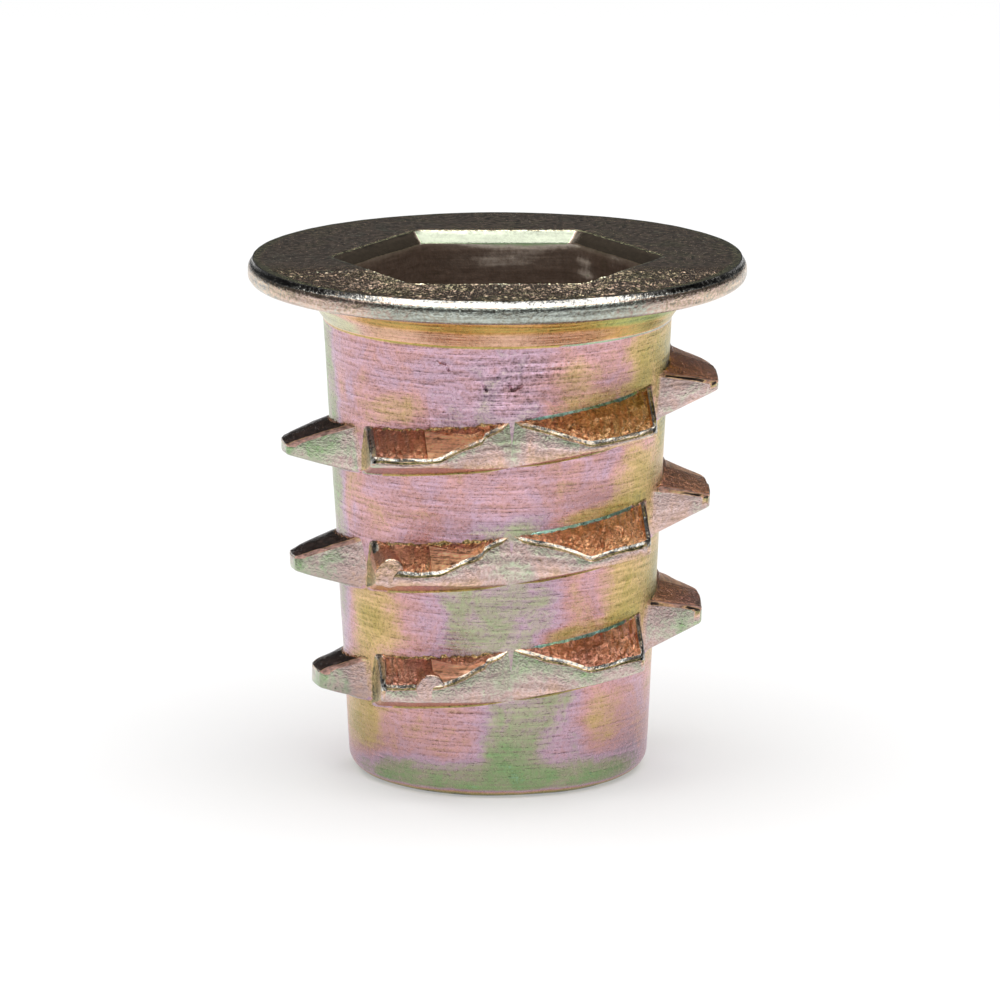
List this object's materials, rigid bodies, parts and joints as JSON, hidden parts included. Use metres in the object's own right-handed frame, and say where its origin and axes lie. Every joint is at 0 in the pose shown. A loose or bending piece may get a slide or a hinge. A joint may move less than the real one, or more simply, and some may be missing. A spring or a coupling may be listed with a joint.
{
  "type": "threaded insert",
  "caption": "Short flanged bush with a tapered body, coarse interrupted outer thread, hexagonal drive socket in the flange and a threaded bore through it.",
  "frame": {"origin": "centre of the narrow leading end face, on the axis", "axes": "+Z along the axis, from the leading end up to the flange; -Y and +Y are normal to two flats of the hexagonal socket"},
  "size_m": [0.0124, 0.0124, 0.013],
  "materials": {
    "chromate_zinc": "yellow chromate with pink and green interference tints over satin die-cast zinc"
  },
  "bodies": {
    "root": {"insert": "chromate_zinc"}
  },
  "joints": []
}
